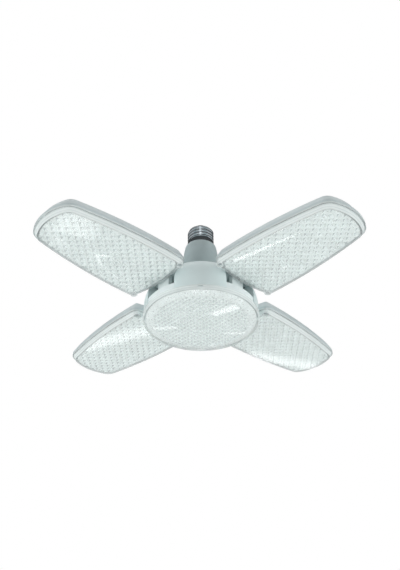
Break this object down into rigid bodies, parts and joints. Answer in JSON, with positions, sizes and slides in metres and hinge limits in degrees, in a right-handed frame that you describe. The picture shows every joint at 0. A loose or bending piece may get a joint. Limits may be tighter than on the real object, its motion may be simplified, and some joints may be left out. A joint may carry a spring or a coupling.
{
  "type": "foldable garage light",
  "caption": "Foldable screw-in LED garage light: round hub lamp under a domed housing, with hinged leaf lamps around it that tilt up beside the neck.",
  "frame": {"origin": "middle of the centre contact's top face, on the lamp's axis", "axes": "+Z along the lamp's axis, up into the lamp socket; the light hangs below in -Z; the leaves point along the diagonals of X and Y"},
  "size_m": [0.2788, 0.2788, 0.1168],
  "materials": {
    "cap_metal": "dull nickel",
    "cap_black": "gloss",
    "contact_metal": "tinned",
    "neck_plastic": "satin",
    "housing_white": "satin",
    "base_white": "satin",
    "clear_lens": "ribbed clear",
    "leaf_white": "satin",
    "light_board": "white lacquer",
    "led_chip": "phosphor",
    "screw_steel": "zinc plated",
    "washer_rubber": "matte",
    "driver_green": "solder mask",
    "driver_dark": "matte",
    "winding_copper": "lacquered",
    "lead_red": "gloss"
  },
  "bodies": {
    "hub": {"screw_shell": "cap_metal", "cap_insulator": "cap_black", "centre_contact": "contact_metal", "neck": "neck_plastic", "supply_leads": "lead_red", "driver_board": "driver_green", "driver_capacitor": "driver_dark", "driver_inductor": "winding_copper", "driver_parts": "driver_dark", "neck_screws": "screw_steel", "hub_dome": "housing_white", "hub_base": "base_white", "base_screws": "screw_steel", "hub_led_board": "light_board", "hub_leds": "led_chip", "hub_board_screws": "screw_steel", "hub_lens": "clear_lens", "leaf_1_hinge_pins": "screw_steel", "leaf_1_hinge_washers": "washer_rubber", "leaf_2_hinge_pins": "screw_steel", "leaf_2_hinge_washers": "washer_rubber", "leaf_3_hinge_pins": "screw_steel", "leaf_3_hinge_washers": "washer_rubber", "leaf_4_hinge_pins": "screw_steel", "leaf_4_hinge_washers": "washer_rubber"},
    "leaf_1": {"leaf_1_shell": "leaf_white", "leaf_1_lens": "clear_lens", "leaf_1_lens_screws": "screw_steel", "leaf_1_led_board": "light_board", "leaf_1_leds": "led_chip", "leaf_1_board_screws": "screw_steel"},
    "leaf_2": {"leaf_2_shell": "leaf_white", "leaf_2_lens": "clear_lens", "leaf_2_lens_screws": "screw_steel", "leaf_2_led_board": "light_board", "leaf_2_leds": "led_chip", "leaf_2_board_screws": "screw_steel"},
    "leaf_3": {"leaf_3_shell": "leaf_white", "leaf_3_lens": "clear_lens", "leaf_3_lens_screws": "screw_steel", "leaf_3_led_board": "light_board", "leaf_3_leds": "led_chip", "leaf_3_board_screws": "screw_steel"},
    "leaf_4": {"leaf_4_shell": "leaf_white", "leaf_4_lens": "clear_lens", "leaf_4_lens_screws": "screw_steel", "leaf_4_led_board": "light_board", "leaf_4_leds": "led_chip", "leaf_4_board_screws": "screw_steel"}
  },
  "joints": [
    {"name": "leaf_1_tilt", "type": "hinge", "parent": "hub", "child": "leaf_1", "pos_m": [0.02758, -0.02758, -0.0836], "axis": [-0.7071, -0.7071, 0], "range_deg": [0, 90]},
    {"name": "leaf_2_tilt", "type": "hinge", "parent": "hub", "child": "leaf_2", "pos_m": [0.02758, 0.02758, -0.0836], "axis": [0.7071, -0.7071, 0], "range_deg": [0, 90]},
    {"name": "leaf_3_tilt", "type": "hinge", "parent": "hub", "child": "leaf_3", "pos_m": [-0.02758, 0.02758, -0.0836], "axis": [0.7071, 0.7071, 0], "range_deg": [0, 90]},
    {"name": "leaf_4_tilt", "type": "hinge", "parent": "hub", "child": "leaf_4", "pos_m": [-0.02758, -0.02758, -0.0836], "axis": [-0.7071, 0.7071, 0], "range_deg": [0, 90]}
  ]
}
